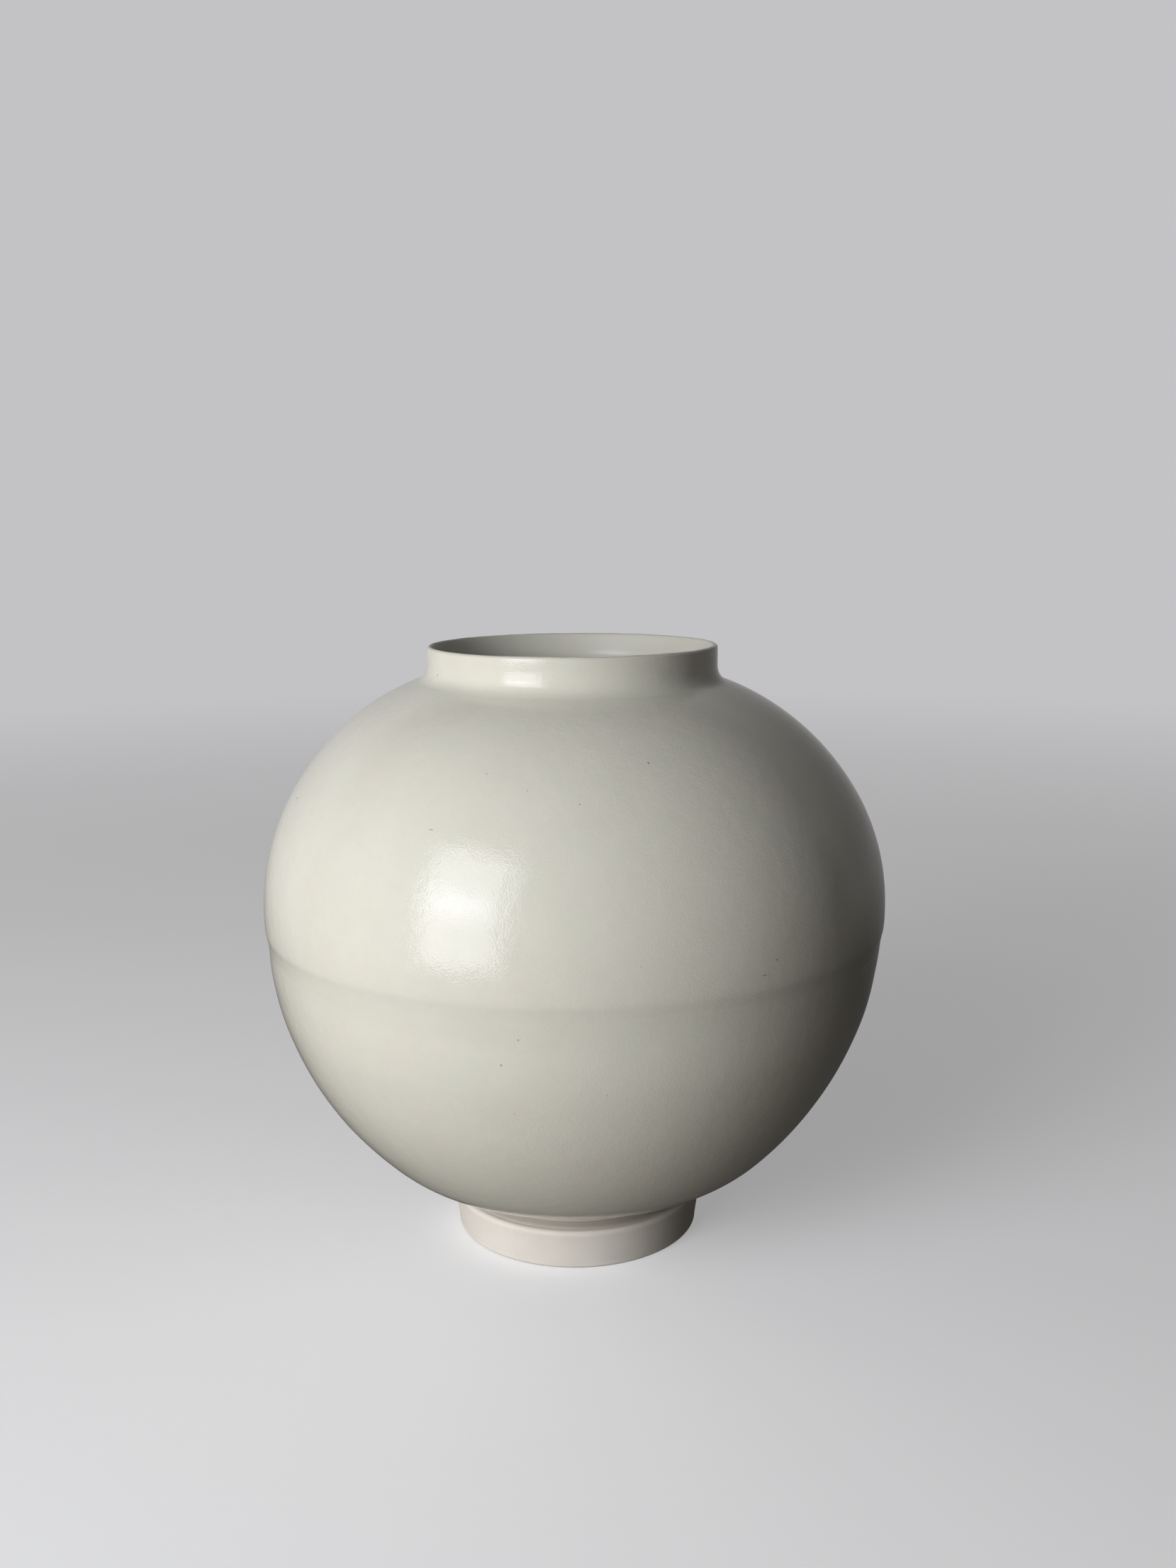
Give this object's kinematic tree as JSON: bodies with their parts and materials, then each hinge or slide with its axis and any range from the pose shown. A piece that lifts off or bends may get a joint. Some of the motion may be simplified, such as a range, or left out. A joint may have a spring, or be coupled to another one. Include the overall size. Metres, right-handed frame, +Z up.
{
  "type": "moon jar",
  "caption": "Round white porcelain jar thrown as two bowls joined rim to rim at the belly, with a short upright collar, a thin lip and a bare foot ring.",
  "frame": {"origin": "centre of the foot ring's resting face, at the bottom of the jar", "axes": "+Z up along the jar's axis, out of its mouth; the jar is round, so +X and +Y point sideways, with -Y towards the viewer of the picture"},
  "size_m": [0.12, 0.12, 0.1161],
  "materials": {
    "bare_porcelain": "unglazed white porcelain, matt and very slightly pink, with fine turning lines",
    "fired_slip": "fired porcelain slip, smooth and matt, a little creamier than the body",
    "outside_glaze": "clear glossy glaze over white porcelain, faintly green and cream, with a few small iron specks",
    "inside_glaze": "the same clear glaze inside the jar, a little greyer, with pooled glaze on the floor"
  },
  "bodies": {
    "root": {"foot_ring": "bare_porcelain", "foot_slip": "fired_slip", "lower_bowl": "bare_porcelain", "belly_slip": "fired_slip", "upper_bowl": "bare_porcelain", "neck_slip": "fired_slip", "neck_collar": "bare_porcelain", "inner_glaze": "inside_glaze", "outer_glaze": "outside_glaze"}
  },
  "joints": []
}
